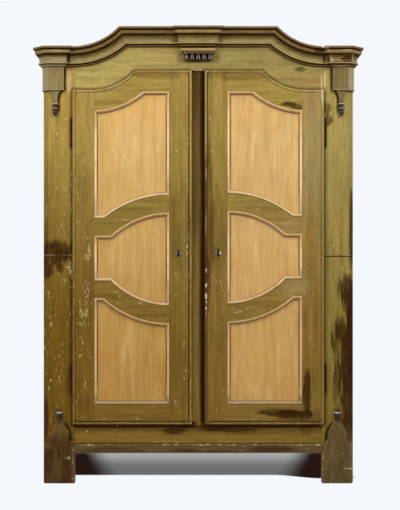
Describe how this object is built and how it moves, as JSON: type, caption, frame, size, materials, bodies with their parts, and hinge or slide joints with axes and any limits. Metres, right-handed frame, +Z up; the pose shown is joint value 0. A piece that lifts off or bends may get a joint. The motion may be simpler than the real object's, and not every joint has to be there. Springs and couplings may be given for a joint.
{
  "type": "kas cupboard",
  "caption": "Tall painted two-door linen cupboard with a swan-necked crown, curved rails round recessed panels, corner pendants, bell-shaped foot boards, shelves, locks and lift-off hinges.",
  "frame": {"origin": "on the floor, under the middle of the whole piece's box", "axes": "+Z up; -Y is the front, where the doors are; +X is to the right as seen from the front"},
  "size_m": [1.531, 0.576, 2.107],
  "materials": {
    "paint_olive": "old olive-green oil paint on pine, worn and rubbed, satin",
    "panel_ochre": "streaked yellow-ochre glaze on pine, satin",
    "moulding_peach": "pale peach oil paint, satin",
    "foot_paint": "dark brown-green paint, scuffed",
    "bare_wood": "old unpainted pine, matt",
    "iron": "dark forged iron, dull"
  },
  "bodies": {
    "carcass": {"corner_post_lower_left": "paint_olive", "corner_post_lower_right": "paint_olive", "corner_post_upper_left": "paint_olive", "corner_post_upper_right": "paint_olive", "side_lower_left": "paint_olive", "side_lower_right": "paint_olive", "side_upper_left": "paint_olive", "side_upper_right": "paint_olive", "capital_left": "paint_olive", "capital_right": "paint_olive", "foot_plate_left": "foot_paint", "foot_plate_right": "foot_paint", "frieze": "paint_olive", "base_rail": "paint_olive", "centre_post": "paint_olive", "crown": "paint_olive", "floor_board": "bare_wood", "roof_board": "bare_wood", "shelf_lower": "bare_wood", "shelf_upper": "bare_wood", "back_lower": "bare_wood", "back_upper": "bare_wood", "hinge_upper_pin_half_left": "iron", "hinge_upper_pin_half_right": "iron", "hinge_lower_pin_half_left": "iron", "hinge_lower_pin_half_right": "iron"},
    "door_left": {"door_hinge_stile_left": "paint_olive", "door_lock_stile_left": "paint_olive", "door_bottom_rail_left": "paint_olive", "door_lower_mid_rail_left": "paint_olive", "door_upper_mid_rail_left": "paint_olive", "door_top_rail_left": "paint_olive", "door_panel_lower_left": "panel_ochre", "door_panel_middle_left": "panel_ochre", "door_panel_upper_left": "panel_ochre", "panel_moulding_lower_left": "moulding_peach", "panel_moulding_middle_left": "moulding_peach", "panel_moulding_upper_left": "moulding_peach", "escutcheon_left": "iron", "lock_case_left": "iron", "hinge_upper_door_half_left": "iron", "hinge_lower_door_half_left": "iron"},
    "lock_bolt_left": {"lock_bolt_left": "iron"},
    "door_right": {"door_hinge_stile_right": "paint_olive", "door_lock_stile_right": "paint_olive", "door_bottom_rail_right": "paint_olive", "door_lower_mid_rail_right": "paint_olive", "door_upper_mid_rail_right": "paint_olive", "door_top_rail_right": "paint_olive", "door_panel_lower_right": "panel_ochre", "door_panel_middle_right": "panel_ochre", "door_panel_upper_right": "panel_ochre", "panel_moulding_lower_right": "moulding_peach", "panel_moulding_middle_right": "moulding_peach", "panel_moulding_upper_right": "moulding_peach", "escutcheon_right": "iron", "lock_case_right": "iron", "hinge_upper_door_half_right": "iron", "hinge_lower_door_half_right": "iron"},
    "lock_bolt_right": {"lock_bolt_right": "iron"}
  },
  "joints": [
    {"name": "door_left_swing", "type": "hinge", "parent": "carcass", "child": "door_left", "pos_m": [-0.589, -0.2378, 1.0525], "axis": [0, 0, -1], "range_deg": [0, 145]},
    {"name": "door_right_swing", "type": "hinge", "parent": "carcass", "child": "door_right", "pos_m": [0.589, -0.2378, 1.0525], "axis": [0, 0, 1], "range_deg": [0, 145]},
    {"name": "lock_bolt_left_slide", "type": "slide", "parent": "door_left", "child": "lock_bolt_left", "axis": [1, 0, 0], "range_m": [0, 0.014]},
    {"name": "lock_bolt_right_slide", "type": "slide", "parent": "door_right", "child": "lock_bolt_right", "axis": [-1, 0, 0], "range_m": [0, 0.014]}
  ]
}
